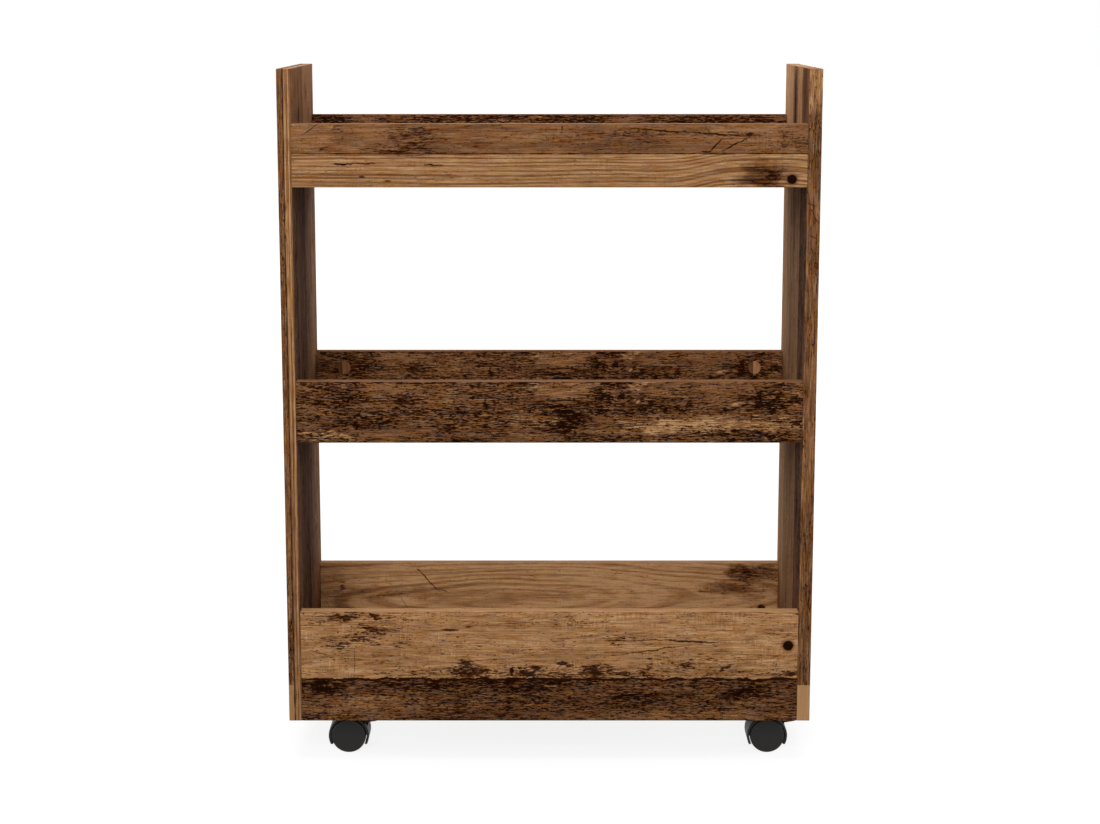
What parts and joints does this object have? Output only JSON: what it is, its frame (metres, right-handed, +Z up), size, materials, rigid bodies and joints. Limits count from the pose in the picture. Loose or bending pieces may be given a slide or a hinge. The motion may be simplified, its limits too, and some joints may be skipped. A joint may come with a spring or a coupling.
{
  "type": "rolling storage cart",
  "caption": "Tall narrow storage cart of printed wood boards: open shelves with front and back rails between side panels, on small twin-wheel casters.",
  "frame": {"origin": "on the floor, below the centre of the cart's outline", "axes": "+Z up, +X towards the right side panel, the front faces -Y"},
  "size_m": [0.6, 0.23, 0.793],
  "materials": {
    "printed_board": "particle board with a printed reclaimed-wood melamine surface, satin",
    "dowel_wood": "plain beech, unfinished",
    "cap_plastic": "thin printed plastic cap in a wood colour",
    "caster_plastic": "satin black moulded nylon",
    "wheel_plastic": "satin black moulded plastic, smooth tread",
    "zinc_steel": "bright zinc plate"
  },
  "bodies": {
    "cart": {"left_side_panel": "printed_board", "right_side_panel": "printed_board", "top_shelf": "printed_board", "middle_shelf": "printed_board", "bottom_shelf": "printed_board", "top_front_rail": "printed_board", "top_back_rail": "printed_board", "middle_front_rail": "printed_board", "middle_back_rail": "printed_board", "bottom_front_rail": "printed_board", "bottom_back_rail": "printed_board", "cam_nuts": "zinc_steel", "cam_bolts": "zinc_steel", "caster_plate_screws": "zinc_steel", "wood_dowels": "dowel_wood", "cam_cover_caps": "cap_plastic", "front_left_caster_plate": "zinc_steel", "front_left_kingpin": "zinc_steel", "front_left_kingpin_clip": "zinc_steel", "front_right_caster_plate": "zinc_steel", "front_right_kingpin": "zinc_steel", "front_right_kingpin_clip": "zinc_steel", "rear_left_caster_plate": "zinc_steel", "rear_left_kingpin": "zinc_steel", "rear_left_kingpin_clip": "zinc_steel", "rear_right_caster_plate": "zinc_steel", "rear_right_kingpin": "zinc_steel", "rear_right_kingpin_clip": "zinc_steel"},
    "front_left_swivel": {"front_left_caster_hood": "caster_plastic", "front_left_caster_axle": "zinc_steel", "front_left_brake_lever_pin": "zinc_steel"},
    "front_left_front_roller": {"front_left_caster_front_wheel": "wheel_plastic"},
    "front_left_back_roller": {"front_left_caster_back_wheel": "wheel_plastic"},
    "front_left_brake": {"front_left_brake_lever": "caster_plastic"},
    "front_right_swivel": {"front_right_caster_hood": "caster_plastic", "front_right_caster_axle": "zinc_steel", "front_right_brake_lever_pin": "zinc_steel"},
    "front_right_front_roller": {"front_right_caster_front_wheel": "wheel_plastic"},
    "front_right_back_roller": {"front_right_caster_back_wheel": "wheel_plastic"},
    "front_right_brake": {"front_right_brake_lever": "caster_plastic"},
    "rear_left_swivel": {"rear_left_caster_hood": "caster_plastic", "rear_left_caster_axle": "zinc_steel"},
    "rear_left_front_roller": {"rear_left_caster_front_wheel": "wheel_plastic"},
    "rear_left_back_roller": {"rear_left_caster_back_wheel": "wheel_plastic"},
    "rear_right_swivel": {"rear_right_caster_hood": "caster_plastic", "rear_right_caster_axle": "zinc_steel"},
    "rear_right_front_roller": {"rear_right_caster_front_wheel": "wheel_plastic"},
    "rear_right_back_roller": {"rear_right_caster_back_wheel": "wheel_plastic"}
  },
  "joints": [
    {"name": "front_left_swivel_turn", "type": "hinge", "parent": "cart", "child": "front_left_swivel", "pos_m": [-0.2445, -0.071, 0.0457], "axis": [0, 0, 1], "continuous": true},
    {"name": "front_left_front_wheel_roll", "type": "hinge", "parent": "front_left_swivel", "child": "front_left_front_roller", "pos_m": [-0.2345, -0.071, 0.02], "axis": [0, 1, 0], "continuous": true},
    {"name": "front_left_back_wheel_roll", "type": "hinge", "parent": "front_left_swivel", "child": "front_left_back_roller", "pos_m": [-0.2345, -0.071, 0.02], "axis": [0, 1, 0], "continuous": true},
    {"name": "front_left_brake_press", "type": "hinge", "parent": "front_left_swivel", "child": "front_left_brake", "pos_m": [-0.21877, -0.071, 0.03573], "axis": [0, 1, 0], "range_deg": [0, 8]},
    {"name": "front_right_swivel_turn", "type": "hinge", "parent": "cart", "child": "front_right_swivel", "pos_m": [0.2445, -0.071, 0.0457], "axis": [0, 0, 1], "continuous": true},
    {"name": "front_right_front_wheel_roll", "type": "hinge", "parent": "front_right_swivel", "child": "front_right_front_roller", "pos_m": [0.2545, -0.071, 0.02], "axis": [0, 1, 0], "continuous": true},
    {"name": "front_right_back_wheel_roll", "type": "hinge", "parent": "front_right_swivel", "child": "front_right_back_roller", "pos_m": [0.2545, -0.071, 0.02], "axis": [0, 1, 0], "continuous": true},
    {"name": "front_right_brake_press", "type": "hinge", "parent": "front_right_swivel", "child": "front_right_brake", "pos_m": [0.27023, -0.071, 0.03573], "axis": [0, 1, 0], "range_deg": [0, 8]},
    {"name": "rear_left_swivel_turn", "type": "hinge", "parent": "cart", "child": "rear_left_swivel", "pos_m": [-0.2445, 0.071, 0.0457], "axis": [0, 0, 1], "continuous": true},
    {"name": "rear_left_front_wheel_roll", "type": "hinge", "parent": "rear_left_swivel", "child": "rear_left_front_roller", "pos_m": [-0.2345, 0.071, 0.02], "axis": [0, 1, 0], "continuous": true},
    {"name": "rear_left_back_wheel_roll", "type": "hinge", "parent": "rear_left_swivel", "child": "rear_left_back_roller", "pos_m": [-0.2345, 0.071, 0.02], "axis": [0, 1, 0], "continuous": true},
    {"name": "rear_right_swivel_turn", "type": "hinge", "parent": "cart", "child": "rear_right_swivel", "pos_m": [0.2445, 0.071, 0.0457], "axis": [0, 0, 1], "continuous": true},
    {"name": "rear_right_front_wheel_roll", "type": "hinge", "parent": "rear_right_swivel", "child": "rear_right_front_roller", "pos_m": [0.2545, 0.071, 0.02], "axis": [0, 1, 0], "continuous": true},
    {"name": "rear_right_back_wheel_roll", "type": "hinge", "parent": "rear_right_swivel", "child": "rear_right_back_roller", "pos_m": [0.2545, 0.071, 0.02], "axis": [0, 1, 0], "continuous": true}
  ]
}
